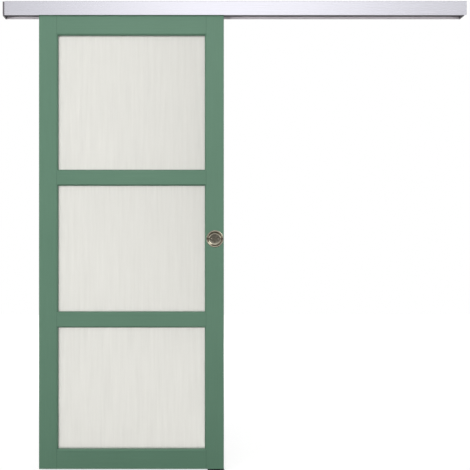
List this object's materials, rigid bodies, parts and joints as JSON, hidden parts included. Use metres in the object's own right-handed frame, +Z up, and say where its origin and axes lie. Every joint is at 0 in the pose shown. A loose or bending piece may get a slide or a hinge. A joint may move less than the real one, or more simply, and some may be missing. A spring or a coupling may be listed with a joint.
{
  "type": "glazed sliding door",
  "caption": "Sliding door leaf with frosted panes in a green stile-and-rail frame, hung by wheeled trolleys from a wall-mounted track with an aluminium fascia.",
  "frame": {"origin": "on the floor under the middle of the track, in the leaf's mid-plane", "axes": "+X along the track towards the closed place, +Y to the wall, +Z up"},
  "size_m": [2.078, 0.064, 2.108],
  "materials": {
    "painted_wood": "green satin paint",
    "frosted_glass": "etched matt",
    "glazing_gasket": "white silicone",
    "beech": "raw turned",
    "brushed_aluminium": "brushed along its length",
    "polished_steel": "polished stainless steel",
    "zinc_steel": "zinc plated",
    "white_nylon": "moulded",
    "black_nylon": "moulded",
    "grey_plastic": "moulded",
    "black_rubber": "moulded"
  },
  "bodies": {
    "frame": {"track": "brushed_aluminium", "fascia": "brushed_aluminium", "left_end_cap": "grey_plastic", "right_end_cap": "grey_plastic", "left_stop": "zinc_steel", "right_stop": "zinc_steel", "left_buffer": "black_rubber", "right_buffer": "black_rubber", "stop_screws": "zinc_steel", "floor_guide": "black_nylon"},
    "leaf": {"left_stile": "painted_wood", "right_stile": "painted_wood", "top_rail": "painted_wood", "upper_mid_rail": "painted_wood", "lower_mid_rail": "painted_wood", "bottom_rail": "painted_wood", "dowels": "beech", "upper_pane": "frosted_glass", "middle_pane": "frosted_glass", "lower_pane": "frosted_glass", "upper_gasket": "glazing_gasket", "middle_gasket": "glazing_gasket", "lower_gasket": "glazing_gasket", "upper_bead_top": "painted_wood", "upper_bead_bottom": "painted_wood", "upper_bead_left": "painted_wood", "upper_bead_right": "painted_wood", "middle_bead_top": "painted_wood", "middle_bead_bottom": "painted_wood", "middle_bead_left": "painted_wood", "middle_bead_right": "painted_wood", "lower_bead_top": "painted_wood", "lower_bead_bottom": "painted_wood", "lower_bead_left": "painted_wood", "lower_bead_right": "painted_wood", "front_pull": "polished_steel", "back_pull": "polished_steel", "pull_screws": "polished_steel", "left_hanger_plate": "zinc_steel", "right_hanger_plate": "zinc_steel", "hanger_screws": "zinc_steel", "hanging_bolts": "zinc_steel", "lock_nuts": "zinc_steel", "left_trolley": "black_nylon", "right_trolley": "black_nylon"},
    "left_outer_wheelset": {"left_outer_axle": "zinc_steel", "left_outer_front_wheel": "white_nylon", "left_outer_back_wheel": "white_nylon"},
    "left_inner_wheelset": {"left_inner_axle": "zinc_steel", "left_inner_front_wheel": "white_nylon", "left_inner_back_wheel": "white_nylon"},
    "right_inner_wheelset": {"right_inner_axle": "zinc_steel", "right_inner_front_wheel": "white_nylon", "right_inner_back_wheel": "white_nylon"},
    "right_outer_wheelset": {"right_outer_axle": "zinc_steel", "right_outer_front_wheel": "white_nylon", "right_outer_back_wheel": "white_nylon"}
  },
  "joints": [
    {"name": "door_slide", "type": "slide", "parent": "frame", "child": "leaf", "axis": [1, 0, 0], "range_m": [0, 0.76]},
    {"name": "left_outer_roll", "type": "hinge", "parent": "leaf", "child": "left_outer_wheelset", "pos_m": [-0.738, 0, 2.0753], "axis": [0, 1, 0], "continuous": true},
    {"name": "left_inner_roll", "type": "hinge", "parent": "leaf", "child": "left_inner_wheelset", "pos_m": [-0.69, 0, 2.0753], "axis": [0, 1, 0], "continuous": true},
    {"name": "right_inner_roll", "type": "hinge", "parent": "leaf", "child": "right_inner_wheelset", "pos_m": [-0.226, 0, 2.0753], "axis": [0, 1, 0], "continuous": true},
    {"name": "right_outer_roll", "type": "hinge", "parent": "leaf", "child": "right_outer_wheelset", "pos_m": [-0.178, 0, 2.0753], "axis": [0, 1, 0], "continuous": true}
  ],
  "couplings": [
    {"joint": "left_outer_roll", "follows": "door_slide", "rad_per_m": 100},
    {"joint": "left_inner_roll", "follows": "door_slide", "rad_per_m": 100},
    {"joint": "right_inner_roll", "follows": "door_slide", "rad_per_m": 100},
    {"joint": "right_outer_roll", "follows": "door_slide", "rad_per_m": 100}
  ]
}
